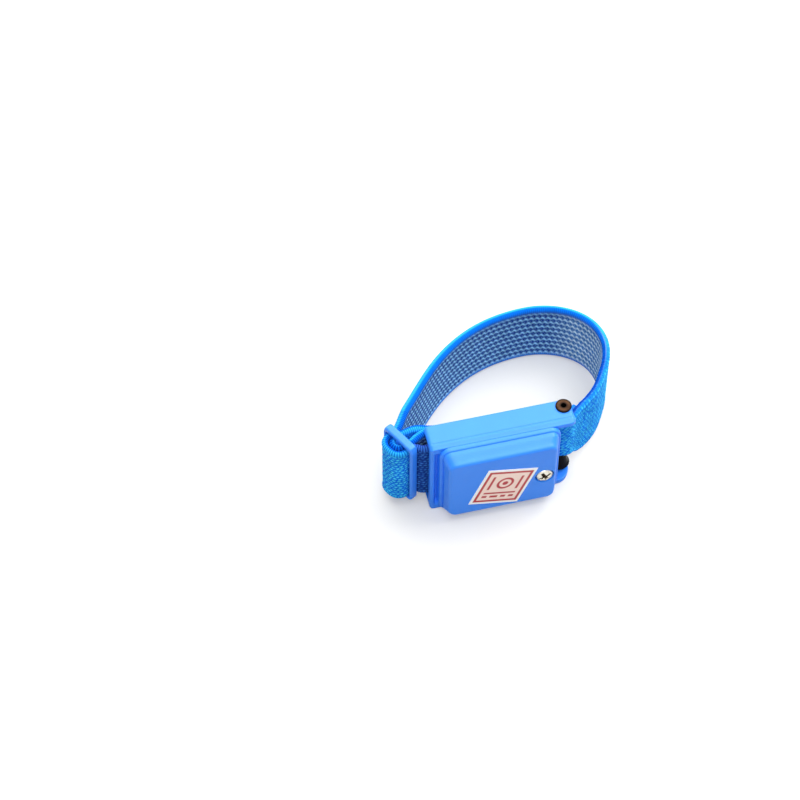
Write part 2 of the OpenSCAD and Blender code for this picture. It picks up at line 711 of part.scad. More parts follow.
// A bar tack: two rows of thread that lie on a face of the band, from a point on that face
module tack(at, turn) {
    row_w = 2 * thread_t;
    translate([at[0], at[1], z_mid]) rotate([0, 0, turn])
        for (side = [-1, 1]) translate([side * row_w, thread_t / 2, 0])
            cube([row_w, thread_t, 0.6 * band_w], center = true);
}

module stub_stitching() {
    color("navy") tack([mouth_x + 0.605 * stub_l, stub_y + band_t / 2 + thread_gap], 0);
}

module root_stitching() {
    face = root_in + (band_t / 2 + thread_gap) * [-sin(root_turn), cos(root_turn)];
    color("navy") translate([0, 0, (band_w - root_w) / 2]) tack(face, root_turn);
}

base_channel();
module_lid();
module_shell();
label();
terminal_screw();
ring_terminal();
terminal_nut();
resistor();
resistor_leads();
contact_leaf();
skin_plate();
plate_screws();
case_screws();
pivot_rivet();
pivot_sleeve();
root_stitching();
steel_clip();
stub_stitching();
adjuster();
elastic_band();
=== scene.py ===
import math

import bmesh
import bpy
import numpy as np
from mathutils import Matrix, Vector


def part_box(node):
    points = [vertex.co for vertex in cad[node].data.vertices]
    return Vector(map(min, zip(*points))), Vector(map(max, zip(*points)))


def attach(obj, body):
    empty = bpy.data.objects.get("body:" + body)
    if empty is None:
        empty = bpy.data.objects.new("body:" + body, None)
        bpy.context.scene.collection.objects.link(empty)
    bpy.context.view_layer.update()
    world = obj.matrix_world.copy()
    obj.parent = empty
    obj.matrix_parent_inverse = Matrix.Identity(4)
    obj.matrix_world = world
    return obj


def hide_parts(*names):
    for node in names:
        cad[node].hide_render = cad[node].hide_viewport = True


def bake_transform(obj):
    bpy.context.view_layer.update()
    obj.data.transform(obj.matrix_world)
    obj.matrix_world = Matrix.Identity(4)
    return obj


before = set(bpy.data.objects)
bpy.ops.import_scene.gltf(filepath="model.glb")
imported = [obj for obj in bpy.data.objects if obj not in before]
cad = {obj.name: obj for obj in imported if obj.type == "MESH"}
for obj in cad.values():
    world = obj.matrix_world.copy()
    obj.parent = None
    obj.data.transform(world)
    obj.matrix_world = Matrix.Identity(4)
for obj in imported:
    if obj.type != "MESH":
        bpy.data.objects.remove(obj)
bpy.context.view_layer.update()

# --- Housing channel ------------------------------------------------------------------------
# The channel is one injection-moulded piece of satin blue ABS. Its two flanges guide the band,
# and its ears carry the pivot. The mould leaves a faint grain and softly rounded edges.
MM = 0.001


def put(tree, kind, inputs=None, **settings):
    """A node with its settings and its inputs, which are values or other nodes' outputs."""
    node = tree.nodes.new(kind)
    for key, value in settings.items():
        setattr(node, key, value)
    for key, value in (inputs or {}).items():
        if isinstance(value, bpy.types.NodeSocket):
            tree.links.new(value, node.inputs[key])
        else:
            node.inputs[key].default_value = value
    return node


def calc(tree, operation, *values):
    """The output of one math step."""
    return put(tree, "ShaderNodeMath", dict(enumerate(values)), operation=operation).outputs[0]


def mix(tree, share, first, second):
    """A colour between two others."""
    node = put(tree, "ShaderNodeMix", data_type="RGBA")
    for key, value in ((0, share), (6, first), (7, second)):
        if isinstance(value, bpy.types.NodeSocket):
            tree.links.new(value, node.inputs[key])
        else:
            node.inputs[key].default_value = value if key == 0 else (*value[:3], 1)
    return node.outputs[2]


def effect(name, inputs, outputs):
    """An empty shader node group with named inputs (name: default) and outputs (name: kind)."""
    tree = bpy.data.node_groups.new(name, "ShaderNodeTree")
    for key, default in inputs.items():
        kind = "NodeSocketColor" if isinstance(default, tuple) else "NodeSocketFloat"
        socket = tree.interface.new_socket(key, in_out="INPUT", socket_type=kind)
        socket.default_value = (*default, 1) if isinstance(default, tuple) else default
    for key, kind in outputs.items():
        tree.interface.new_socket(key, in_out="OUTPUT", socket_type="NodeSocket" + kind)
    return tree, tree.nodes.new("NodeGroupInput").outputs, tree.nodes.new("NodeGroupOutput").inputs


def apply_effect(tree, group, **inputs):
    """A group placed in a material. Underscores in a name stand for spaces."""
    node = tree.nodes.new("ShaderNodeGroup")
    node.node_tree = group
    for key, value in inputs.items():
        socket = node.inputs[key.replace("_", " ")]
        if isinstance(value, bpy.types.NodeSocket):
            tree.links.new(value, socket)
        else:
            socket.default_value = (*value, 1) if isinstance(value, tuple) else value
    return node.outputs


def finish_of(name, **constants):
    """A material with one Principled BSDF, whose plain values sit on its own sockets."""
    material = bpy.data.materials.new(name)
    material.use_nodes = True
    shader = material.node_tree.nodes["Principled BSDF"]
    for key, value in constants.items():
        shader.inputs[key.replace("_", " ")].default_value = value
    return material, material.node_tree, shader.inputs


def relief(tree, shader, height, depth):
    """Fine bump, in metres, on the shader's normal."""
    bump = put(tree, "ShaderNodeBump", {"Height": height, "Strength": 1.0, "Distance": depth})
    tree.links.new(bump.outputs[0], shader["Normal"])


# Moulded grain: cloudy tone, fine pits and a few rubbed, paler places
moulded_grain, given, out = effect(
    "moulded grain",
    {"Colour": (0.1, 0.3, 0.9), "Rubbed Colour": (0.3, 0.5, 1.0), "Grain Size": 0.12, "Cloud": 0.12,
     "Rubbing": 0.15, "Roughness": 0.35},
    {"Colour": "Color", "Roughness": "Float", "Height": "Float"})
place = put(moulded_grain, "ShaderNodeTexCoord").outputs["Object"]
fineness = calc(moulded_grain, "DIVIDE", 1000.0, given["Grain Size"])
pits = put(moulded_grain, "ShaderNodeTexNoise", {"Vector": place, "Scale": fineness, "Detail": 3.0})
cloud = put(moulded_grain, "ShaderNodeTexNoise", {"Vector": place, "Scale": 160.0, "Detail": 4.0})
rubs = put(moulded_grain, "ShaderNodeTexNoise", {"Vector": place, "Scale": 420.0, "Detail": 8.0,
                                                "Roughness": 0.7})
rub_mask = put(moulded_grain, "ShaderNodeMapRange", {"Value": rubs.outputs[0], "From Min": 0.56,
                                                    "From Max": 0.74}).outputs[0]
rub_mask = calc(moulded_grain, "MULTIPLY", rub_mask, given["Rubbing"])
tone = calc(moulded_grain, "MULTIPLY_ADD", calc(moulded_grain, "SUBTRACT", cloud.outputs[0], 0.5),
            given["Cloud"], 1.0)
toned = put(moulded_grain, "ShaderNodeVectorMath", {0: given["Colour"]}, operation="SCALE")
moulded_grain.links.new(tone, toned.inputs["Scale"])
moulded_grain.links.new(mix(moulded_grain, rub_mask, toned.outputs[0], given["Rubbed Colour"]),
                        out["Colour"])
gloss = calc(moulded_grain, "MULTIPLY_ADD", rubs.outputs[0], 0.16, given["Roughness"])
moulded_grain.links.new(calc(moulded_grain, "SUBTRACT", gloss, 0.08), out["Roughness"])
moulded_grain.links.new(pits.outputs[0], out["Height"])


def moulded(name, colour, rubbed, roughness, grain=0.12, depth=0.000006, rubbing=0.15):
    """Injection-moulded plastic with its grain."""
    material, tree, shader = finish_of(name, IOR=1.5, Specular_IOR_Level=0.42)
    skin = apply_effect(tree, moulded_grain, Colour=colour, Rubbed_Colour=rubbed, Roughness=roughness,
                        Grain_Size=grain, Rubbing=rubbing)
    tree.links.new(skin["Colour"], shader["Base Color"])
    tree.links.new(skin["Roughness"], shader["Roughness"])
    relief(tree, shader, skin["Height"], depth)
    return material


def soften(name, node, voxel, passes, material, body, reshape):
    """A CAD solid remade with edges that a mould has rounded, and then reshaped by a function."""
    piece = bpy.data.objects.new(name, cad[node].data.copy())
    piece.data.name = name
    bpy.context.scene.collection.objects.link(piece)
    remesh = piece.modifiers.new("remesh", "REMESH")
    remesh.mode = "VOXEL"
    remesh.voxel_size = voxel * MM
    remesh.use_smooth_shade = True
    smooth = piece.modifiers.new("smooth", "SMOOTH")
    smooth.iterations = passes
    smooth.factor = 0.5
    final = bpy.data.meshes.new_from_object(
        piece.evaluated_get(bpy.context.evaluated_depsgraph_get()))
    piece.modifiers.clear()
    piece.data = final
    final.materials.clear()
    final.materials.append(material)
    final.polygons.foreach_set("use_smooth", [True] * len(final.polygons))
    final.polygons.foreach_set("material_index", [0] * len(final.polygons))
    points = np.empty(len(final.vertices) * 3, np.float32)
    final.vertices.foreach_get("co", points)
    points = reshape(points.reshape(-1, 3) / MM) * MM
    final.vertices.foreach_set("co", points.astype(np.float32).ravel())
    final.update()
    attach(piece, body)
    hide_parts(node)


def ease(x, a, b):
    """A smooth step from 0 to 1 between a and b."""
    t = np.clip((np.asarray(x, float) - a) / (b - a), 0, 1)
    return t * t * (3 - 2 * t)


channel_low, channel_high = (np.array(corner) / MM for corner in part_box("base_channel"))
LIP_DROP, LIP_OUT = 0.3, 0.1
GROOVE_IN, GROOVE_HALF, GROOVE_DEPTH = 1.75, 0.5, 1.2
EAR_REACH, EAR_CORNER = 4.2, 1.6


def cut_ear(points):
    """The lower ear's front corner, a small round in the CAD, is cut back to a quarter circle."""
    corner = channel_high[0] - EAR_REACH, -channel_low[1] - EAR_REACH
    turned = np.maximum(points[:, :2] * (1, -1) - corner, 0)
    longer, reach = turned.max(axis=1), np.maximum(np.hypot(*turned.T), 1e-6)
    straight = EAR_REACH - EAR_CORNER
    toward = straight * turned.sum(axis=1)
    root = np.maximum(toward ** 2 - reach ** 2 * (2 * straight ** 2 - EAR_CORNER ** 2), 0) ** 0.5
    at_round = turned.min(axis=1) > longer * straight / EAR_REACH
    radius = np.where(at_round, EAR_REACH * reach ** 2 / np.maximum(toward + root, 1e-6), longer)
    cut = (1 - radius / reach) * (1 - ease(points[:, 2], 2.6, 3.4)) * (turned.min(axis=1) > 0)
    points[:, :2] -= turned * (1, -1) * cut[:, None]


def slope_lips(points):
    """The flanges fall away towards the module, and a groove sets the channel off from the lid."""
    x, y, z = points.T
    lip = ease(-y, 2.2, 3.8) * ease(z, 24.8, 25.8)
    z -= LIP_DROP * lip
    y += LIP_OUT * lip
    groove = np.exp(-((x - channel_low[0] - GROOVE_IN) / GROOVE_HALF) ** 4)
    groove *= ease(z, 1.2, 3.4) * (1 - ease(z, 23.4, 24.6))
    y += GROOVE_DEPTH * groove * ease(-y, 2.7, 3.7)
    cut_ear(points)
    return points


housing_blue = moulded("housing blue", (0.028, 0.255, 1.0), (0.10, 0.40, 1.0), 0.36)
soften("channel", "base_channel", 0.13, 5, housing_blue, "housing", slope_lips)

# --- Resistor module ------------------------------------------------------------------------
# The lid and the shell are two mouldings of the same blue plastic. The shell is drafted towards
# its front face, where a round recess takes the terminal screw. Screws from behind hold both.


def add_piece(name, vertices, faces, material, body, slot, *stands_for, sharp=30):
    """A mesh piece, in millimetres, that stands for CAD nodes and rides on a body, if one is given."""
    mesh = bpy.data.meshes.new(name)
    mesh.from_pydata((np.asarray(vertices, float) * MM).tolist(), [], faces)
    mesh.materials.append(material)
    mesh.validate()
    piece = bpy.data.objects.new(name, mesh)
    bpy.context.scene.collection.objects.link(piece)
    work = bmesh.new()
    work.from_mesh(mesh)
    bmesh.ops.recalc_face_normals(work, faces=work.faces)
    for face in work.faces:
        face.smooth = True
    for edge in work.edges:
        edge.smooth = len(edge.link_faces) == 2 and edge.calc_face_angle() < math.radians(sharp)
    work.to_mesh(mesh)
    work.free()
    if body:
        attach(piece, body)
    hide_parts(*stands_for)
    return piece


def rounded_outline(cx, cz, w, h, r, corner=14, side=10):
    """Points round a rectangle with round corners, from the middle of its right side."""
    points = []
    for k, (sx, sz) in enumerate(((1, 1), (-1, 1), (-1, -1), (1, -1))):
        for i in range(corner + 1):
            a = math.radians(90 * k + 90 * i / corner)
            points.append((cx + sx * (w / 2 - r) + r * math.cos(a),
                           cz + sz * (h / 2 - r) + r * math.sin(a)))
        here, (nx, nz) = points[-1], ((-1, 1), (-1, -1), (1, -1), (1, 1))[k]
        a = math.radians(90 * (k + 1))
        there = (cx + nx * (w / 2 - r) + r * math.cos(a), cz + nz * (h / 2 - r) + r * math.sin(a))
        points += [(here[0] + (there[0] - here[0]) * j / side,
                    here[1] + (there[1] - here[1]) * j / side) for j in range(1, side)]
    return np.array(points)


def loft(rings):
    """Vertices and faces of a closed body through rings with equal numbers of points."""
    count = len(rings[0])
    vertices = np.concatenate(rings)
    faces = [(r * count + i, r * count + (i + 1) % count, (r + 1) * count + (i + 1) % count,
              (r + 1) * count + i) for r in range(len(rings) - 1) for i in range(count)]
    faces.append(tuple(range(count))[::-1])
    faces.append(tuple(range((len(rings) - 1) * count, len(rings) * count)))
    return vertices, faces


def at_depth(outline, y):
    """A front-view outline set at a depth."""
    return np.column_stack((outline[:, 0], np.full(len(outline), y), outline[:, 1]))


lid_low, lid_high = (np.array(corner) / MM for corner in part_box("module_lid"))
LID_TRIM, LID_LIFT, LID_CORNER = 0.35, 0.6, 3.0
LID_ROUND, LID_ROUND_DEPTH, LID_BREAK = 0.42, 0.8, 0.08
lid_high[0] -= LID_TRIM
lid_mid = (lid_low + lid_high) / 2
lid_size = lid_high - lid_low


def lid_ring(inset, y):
    """The lid's outline, drawn in, at a depth."""
    return at_depth(rounded_outline(lid_mid[0], lid_mid[2], lid_size[0] - 2 * inset,
                                    lid_size[2] + 2 * LID_LIFT - 2 * inset, LID_CORNER - inset), y)


lid_rings = [lid_ring(0.5, lid_high[1]), lid_ring(LID_BREAK, lid_high[1]),
             lid_ring(0.0, lid_high[1] - LID_BREAK)]
for turn in np.linspace(0, math.pi / 2, 8):
    lid_rings.append(lid_ring(LID_ROUND * (1 - math.cos(turn)),
                              lid_low[1] + LID_ROUND_DEPTH * (1 - math.sin(turn))))
add_piece("lid", *loft(lid_rings), housing_blue, "housing", "blue_plastic", "module_lid")

LAP_UP, LAP_BACK, SHELL_DROP, SHELL_TRIM, FOOT_DRAFT = 0.85, 0.75, 0.55, 0.4, 0.55


def settle_shell(points):
    """The upper edge laps the lid, the lower edge is fuller, and the sides draw in at the foot."""
    x, y, z = points.T
    upper = ease(z, 20, 24.6) * ease(y, -8.4, -5.2)
    z += LAP_UP * upper
    y += LAP_BACK * upper * ease(y, -6.2, -5.1)
    z -= SHELL_DROP * ease(-z, -8, -2)
    x -= SHELL_TRIM * ease(x, 11.5, 14.4)
    foot = FOOT_DRAFT * ease(y, -6.1, -5.3) * (1 - ease(z, 21, 24))
    x += foot * (ease(-x, 12, 15.5) - ease(x, 10, 13.5))
    return points


soften("shell", "module_shell", 0.11, 9, housing_blue, "housing", settle_shell)

# --- Label ----------------------------------------------------------------------------------
# A printed film label is stuck on the front face, a little askew. It carries a plain border, a
# ring with a dot, rules and dashes, and no words.
label_low, label_high = (np.array(corner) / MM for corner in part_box("label"))
label_tilt, label_lean, label_run, label_rise = math.radians(-13), math.radians(69.4), 13.4, 14.4
run = label_run * np.array((math.cos(label_tilt), math.sin(label_tilt)))
rise = label_rise * np.array((math.cos(label_lean), math.sin(label_lean)))
label_origin = np.array((-10.3, 6.9))
FILM_EDGE, EDGE_INSET, CELLS = 0.06, 0.004, 24
label_rings = []
for inset, y in ((0.0, label_high[1]), (0.0, label_low[1] + FILM_EDGE), (EDGE_INSET, label_low[1])):
    ring = []
    for (a0, b0), (a1, b1) in (((0, 0), (1, 0)), ((1, 0), (1, 1)), ((1, 1), (0, 1)), ((0, 1), (0, 0))):
        for i in range(CELLS):
            a, b = a0 + (a1 - a0) * i / CELLS, b0 + (b1 - b0) * i / CELLS
            a, b = inset + a * (1 - 2 * inset), inset + b * (1 - 2 * inset)
            x, z = label_origin + a * run + b * rise
            ring.append((x, y, z))
    label_rings.append(np.array(ring))

label_print, tree, shader = finish_of("label print", Roughness=0.42, IOR=1.45, Coat_Weight=0.25,
                                      Coat_Roughness=0.18)
grid = put(tree, "ShaderNodeUVMap", uv_map="label_map").outputs[0]
split = put(tree, "ShaderNodeSeparateXYZ", {0: grid}).outputs


def band_between(tree, value, low, high, soft=0.008):
    """1 where a value lies between two limits, with soft edges."""
    up, down = (put(tree, "ShaderNodeMapRange", {"Value": value, "From Min": start, "From Max": end})
                for start, end in ((low - soft, low + soft), (high + soft, high - soft)))
    return calc(tree, "MULTIPLY", up.outputs[0], down.outputs[0])


def box_mask(tree, a, b, limits):
    """1 inside a box of the label's own grid."""
    left, right, low, high = limits
    return calc(tree, "MULTIPLY", band_between(tree, a, left, right), band_between(tree, b, low, high))


# Each box is given by its left, right, lower and upper side, as shares of the label
BORDER, FIELD = (0.055, 0.945, 0.055, 0.945), (0.11, 0.89, 0.11, 0.89)
MARKS = ((0.18, 0.82, 0.29, 0.335), (0.18, 0.28, 0.18, 0.24), (0.34, 0.50, 0.18, 0.24),
         (0.56, 0.66, 0.18, 0.24), (0.72, 0.82, 0.18, 0.24), (0.19, 0.24, 0.42, 0.80),
         (0.76, 0.81, 0.42, 0.80))
RING_AT, RING_IN, RING_OUT, DOT_R = (0.5, 0.60, 0), 0.115, 0.165, 0.055
label_red, label_fill, film_white = (0.50, 0.016, 0.02), (1.0, 0.76, 0.67), (1.0, 1.0, 1.0)
colour = mix(tree, box_mask(tree, split[0], split[1], BORDER), film_white, label_red)
colour = mix(tree, box_mask(tree, split[0], split[1], FIELD), colour, label_fill)
from_middle = put(tree, "ShaderNodeVectorMath", {0: grid, 1: RING_AT}, operation="DISTANCE").outputs[1]
ink = calc(tree, "MAXIMUM", band_between(tree, from_middle, RING_IN, RING_OUT),
           band_between(tree, from_middle, -1.0, DOT_R))
for limits in MARKS:
    ink = calc(tree, "MAXIMUM", ink, box_mask(tree, split[0], split[1], limits))
colour = mix(tree, ink, colour, label_red)
fibre = put(tree, "ShaderNodeTexNoise", {"Vector": grid, "Scale": 90.0, "Detail": 4.0}).outputs[0]
worn = put(tree, "ShaderNodeMapRange", {"Value": fibre, "From Min": 0.6, "From Max": 0.8,
                                       "To Max": 0.18}).outputs[0]
tree.links.new(mix(tree, worn, colour, (0.96, 0.90, 0.88)), shader["Base Color"])
relief(tree, shader, fibre, 0.000004)
label_piece = add_piece("label_film", *loft(label_rings), label_print, "housing", "label_paper",
                        "label")
label_map = label_piece.data.uv_layers.new(name="label_map")
to_shares = np.linalg.inv(np.column_stack((run, rise)))
for loop in label_piece.data.loops:
    point = np.array(label_piece.data.vertices[loop.vertex_index].co) / MM
    label_map.data[loop.index].uv = to_shares @ (point[[0, 2]] - label_origin)

# --- Terminal and the parts inside ------------------------------------------------------------
# The terminal is a nickel-plated pan-head screw in a brass nut, with a ring terminal beneath it.
# A lacquered resistor joins it to a bronze leaf, which touches the clip and the skin plate.
metal_wear, given, out = effect(
    "metal wear",
    {"Colour": (0.8, 0.8, 0.8), "Dull Colour": (0.4, 0.4, 0.4), "Scratch Size": 0.05,
     "Stretch": 12.0, "Roughness": 0.25, "Dulling": 0.3},
    {"Colour": "Color", "Roughness": "Float", "Height": "Float"})
place = put(metal_wear, "ShaderNodeTexCoord").outputs["Object"]
lengths = put(metal_wear, "ShaderNodeCombineXYZ", {"X": 1.0, "Y": given["Stretch"],
                                                   "Z": given["Stretch"]})
drawn = put(metal_wear, "ShaderNodeVectorMath", {0: place, 1: lengths.outputs[0]}, operation="MULTIPLY")
thinness = calc(metal_wear, "DIVIDE", 60.0, given["Scratch Size"])
lines = put(metal_wear, "ShaderNodeTexNoise", {"Vector": drawn.outputs[0], "Scale": thinness,
                                               "Detail": 5.0})
stain = put(metal_wear, "ShaderNodeTexNoise", {"Vector": place, "Scale": 700.0, "Detail": 6.0})
dull = put(metal_wear, "ShaderNodeMapRange", {"Value": stain.outputs[0], "From Min": 0.45,
                                              "From Max": 0.75})
dull = calc(metal_wear, "MULTIPLY", dull.outputs[0], given["Dulling"])
metal_wear.links.new(mix(metal_wear, dull, given["Colour"], given["Dull Colour"]), out["Colour"])
rough = calc(metal_wear, "MULTIPLY_ADD", dull, 0.5, given["Roughness"])
metal_wear.links.new(calc(metal_wear, "MULTIPLY_ADD", lines.outputs[0], 0.08, rough), out["Roughness"])
metal_wear.links.new(lines.outputs[0], out["Height"])
SCRATCH_DEPTH = 0.000004


def metal(name, colour, dull_colour, roughness, dulling=0.3, stretch=12.0):
    """A worn metal finish. Its scratches are drawn out along X by the stretch."""
    material, tree, shader = finish_of(name, Metallic=1.0)
    skin = apply_effect(tree, metal_wear, Colour=colour, Dull_Colour=dull_colour, Roughness=roughness,
                        Dulling=dulling, Stretch=stretch)
    tree.links.new(skin["Colour"], shader["Base Color"])
    tree.links.new(skin["Roughness"], shader["Roughness"])
    relief(tree, shader, skin["Height"], SCRATCH_DEPTH)
    return material


def dress(node, material):
    """A CAD node keeps its shape and gets a finish."""
    mesh = cad[node].data
    mesh.materials.clear()
    mesh.materials.append(material)
    for face in mesh.polygons:
        face.material_index = 0


def painted(tree, name):
    """A value that the mesh carries at each of its points."""
    return put(tree, "ShaderNodeAttribute", attribute_name=name).outputs["Fac"]


nickel = metal("nickel plate", (0.80, 0.78, 0.70), (0.30, 0.26, 0.18), 0.2, stretch=1.0)
brass = metal("bare brass", (0.78, 0.58, 0.26), (0.36, 0.22, 0.09), 0.3, stretch=1.0)
screw_low, screw_high = (np.array(corner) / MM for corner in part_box("terminal_screw"))
screw_x, screw_z = ((screw_low + screw_high) / 2)[[0, 2]]
head_r, head_seat, rim_h, crown_h, shank_r = (screw_high[0] - screw_low[0]) / 2, -7.6, 0.75, 1.05, 1.45
RIM_SHARE, RIM_RISE = 0.2, 0.75
SLOT_HALF, SLOT_REACH, SLOT_DEPTH, SLOT_TURN = 0.42, 1.65, 1.0, math.radians(28)
ROUND, HEAD_RINGS = 120, 34
turns = np.linspace(0, math.tau, ROUND, endpoint=False)


def head_profile(share):
    """Radius and height over the seat, from the rim's foot to the middle of the domed top."""
    if share < RIM_SHARE:
        return head_r, rim_h * share / RIM_SHARE * RIM_RISE
    turn = (share - RIM_SHARE) / (1 - RIM_SHARE) * math.pi / 2
    dome = (crown_h + 0.2 * rim_h) * math.sin(turn) ** 0.85
    return head_r * math.cos(turn) ** 0.75, rim_h * RIM_RISE + dome


def head_ring(radius, y):
    """A ring round the screw's axis, at one depth or at a depth for each of its points."""
    return np.column_stack((screw_x + radius * np.cos(turns), np.full(ROUND, y),
                            screw_z + radius * np.sin(turns)))


def slot_at(x, z):
    """Depth of the cross recess at a place on the head."""
    a, b = (abs(x * math.cos(SLOT_TURN) + z * math.sin(SLOT_TURN)),
            abs(z * math.cos(SLOT_TURN) - x * math.sin(SLOT_TURN)))
    depth = 0.0
    for along_slot, across_slot in ((a, b), (b, a)):
        width = SLOT_HALF * (1.15 - 0.35 * along_slot / SLOT_REACH)
        depth = max(depth, float(ease(-across_slot, -width - 0.09, -width + 0.09)
                                 * ease(-along_slot, -SLOT_REACH - 0.1, -SLOT_REACH + 0.25))
                    * SLOT_DEPTH * (1.1 - 0.5 * along_slot / SLOT_REACH))
    return depth


head_rings = [head_ring(shank_r, screw_high[1]), head_ring(shank_r, head_seat + 0.05),
              head_ring(head_r, head_seat)]
slot_depths = [np.zeros(ROUND)] * 3
for share in np.linspace(0.04, 0.985, HEAD_RINGS):
    r, h = head_profile(share)
    dips = np.array([slot_at(r * math.cos(a), r * math.sin(a)) for a in turns])
    head_rings.append(head_ring(r, head_seat - h + dips))
    slot_depths.append(dips)
screw_plate = metal("worn nickel head", (0.86, 0.83, 0.74), (0.34, 0.28, 0.16), 0.16, stretch=1.0,
                    dulling=0.7)
tree = screw_plate.node_tree
shader = tree.nodes["Principled BSDF"].inputs
# Painted shade: the cross recess is mixed towards near black, the more the deeper it is sunk
sunk = put(tree, "ShaderNodeMapRange", {"Value": painted(tree, "sunk"), "From Min": 0.1,
                                       "From Max": 0.55}).outputs[0]
tree.links.new(mix(tree, sunk, shader["Base Color"].links[0].from_socket, (0.05, 0.035, 0.02)),
               shader["Base Color"])
screw_piece = add_piece("terminal_screw_head", *loft(head_rings), screw_plate, "housing", "nickel",
                        "terminal_screw", sharp=50)
layer = screw_piece.data.attributes.new("sunk", "FLOAT", "POINT")
layer.data.foreach_set("value", np.concatenate(slot_depths).astype(np.float32))
dress("ring_terminal", brass)
dress("terminal_nut", brass)
dress("resistor_leads", nickel)
dress("contact_leaf", metal("spring bronze", (0.66, 0.42, 0.24), (0.30, 0.17, 0.09), 0.32))
dress("resistor", moulded("resistor lacquer", (0.55, 0.36, 0.17), (0.75, 0.58, 0.36), 0.3, grain=0.3))

# --- Skin plate and small screws --------------------------------------------------------------
# A rolled stainless plate closes the channel and touches the wrist. Two small screws hold it, and
# two more, from inside the channel, hold the resistor module.
stainless = metal("rolled stainless", (0.62, 0.63, 0.65), (0.34, 0.33, 0.32), 0.27, dulling=0.25)
dress("skin_plate", stainless)
dress("plate_screws", nickel)
dress("case_screws", nickel)

# --- Pivot ------------------------------------------------------------------------------------
# A browned tubular rivet goes through both ears. A glossy black sleeve turns on it and carries
# the band's gathered end.
RIVET_RIM, RIVET_BORE, RIM_DARK_BAND, BORE_DARK_BAND = 1.86, 0.72, 0.3, 0.5
bronze = metal("browned bronze", (0.060, 0.030, 0.016), (0.030, 0.014, 0.008), 0.36, stretch=1.0,
               dulling=0.6)
tree = bronze.node_tree
shader = tree.nodes["Principled BSDF"].inputs
rivet_low, rivet_high = (np.array(corner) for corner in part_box("pivot_rivet"))
rivet_mid = (rivet_low + rivet_high) / 2
spot = put(tree, "ShaderNodeTexCoord").outputs["Object"]
arm = put(tree, "ShaderNodeVectorMath", {0: spot, 1: (rivet_mid[0], rivet_mid[1], 0)},
          operation="SUBTRACT")
flat = put(tree, "ShaderNodeVectorMath", {0: arm.outputs[0], 1: (1, 1, 0)}, operation="MULTIPLY")
out_from = put(tree, "ShaderNodeVectorMath", {0: flat.outputs[0]}, operation="LENGTH").outputs["Value"]
# The head is mixed towards near black at its outer edge and round its bore
rim_dark, bore_dark = (
    put(tree, "ShaderNodeMapRange", {"Value": out_from, "From Min": clean * MM, "From Max": dirty * MM})
    for clean, dirty in ((RIVET_RIM - RIM_DARK_BAND, RIVET_RIM), (RIVET_BORE + BORE_DARK_BAND, RIVET_BORE)))
edge_dark = calc(tree, "MAXIMUM", rim_dark.outputs[0], bore_dark.outputs[0])
worn_colour = shader["Base Color"].links[0].from_socket
tree.links.new(mix(tree, edge_dark, worn_colour, (0.012, 0.008, 0.007)), shader["Base Color"])
dress("pivot_rivet", bronze)

sleeve_low, sleeve_high = (np.array(corner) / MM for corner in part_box("pivot_sleeve"))
sleeve_x, sleeve_y = (sleeve_low[:2] + sleeve_high[:2]) / 2
sleeve_r = (sleeve_high[0] - sleeve_low[0]) / 2
sleeve_z0, sleeve_z1 = sleeve_low[2], sleeve_high[2]
BOOT_R, BOOT_TOP, BOOT_ROUND, BOOT_FOOT, BOOT_RIPPLE = 2.8, 8.4, 0.35, 0.45, 0.04
SLEEVE_SIDES = 48


def ring_at(radius, z):
    """A level ring round the pivot's axis."""
    turns = np.linspace(0, math.tau, SLEEVE_SIDES, endpoint=False)
    return np.column_stack((sleeve_x + radius * np.cos(turns), sleeve_y + radius * np.sin(turns),
                            np.full(SLEEVE_SIDES, z)))


sleeve_rings = [ring_at(BOOT_R - 0.5, sleeve_z0)]
for turn in np.linspace(0, math.pi / 2, 7):
    sleeve_rings.append(ring_at(BOOT_R - BOOT_ROUND + BOOT_ROUND * math.sin(turn),
                                sleeve_z0 + BOOT_FOOT * (1 - math.cos(turn))))
for share in np.linspace(0.06, 1, 16):
    radius = BOOT_R + (sleeve_r - BOOT_R) * float(ease(share, -0.3, 0.85))
    sleeve_rings.append(ring_at(radius - BOOT_RIPPLE * math.sin(3 * math.pi * share),
                                sleeve_z0 + BOOT_FOOT + (BOOT_TOP - sleeve_z0 - BOOT_FOOT) * share))
sleeve_rings += [ring_at(sleeve_r, z) for z in np.linspace(BOOT_TOP + 0.5, sleeve_z1 - 0.1, 10)]
sleeve_rings.append(ring_at(sleeve_r - 0.1, sleeve_z1))
sleeve_black = moulded("black sleeve", (0.004, 0.004, 0.008), (0.02, 0.02, 0.03), 0.14, rubbing=0.2)
sleeve_black.node_tree.nodes["Principled BSDF"].inputs["Specular IOR Level"].default_value = 0.05
add_piece("sleeve", *loft(sleeve_rings), sleeve_black, "strap_end", "black_plastic", "pivot_sleeve")

# --- Clip -------------------------------------------------------------------------------------
# The clip is folded from stainless sheet. Its rolled bar holds the band, and its tongue slides
# into the channel.
dress("steel_clip", stainless)

# --- Adjuster ---------------------------------------------------------------------------------
# The adjuster is a three-bar slide, moulded in a glossier blue. It stands askew on the band, which
# goes twice round its middle bar.
slide_low, slide_high = (np.array(corner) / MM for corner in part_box("adjuster"))
slide_mid, slide_turn = ((slide_low + slide_high) / 2)[:2], math.radians(61.9)
frame_way = np.array((math.cos(slide_turn), -math.sin(slide_turn)))
POST_TRIM, RAIL_RISE = 0.5, 0.7


def thin_slide(points):
    """The slide's two posts are slimmer outside, and its lower rail stands higher."""
    s = (points[:, :2] - slide_mid) @ frame_way
    reach = np.abs(s).max()
    inward = POST_TRIM * ease(np.abs(s), reach - 1.3, reach - 0.1) * np.sign(s)
    points[:, :2] -= inward[:, None] * frame_way
    points[:, 2] += RAIL_RISE * (1 - ease(points[:, 2], 1.5, 3.3))
    return points


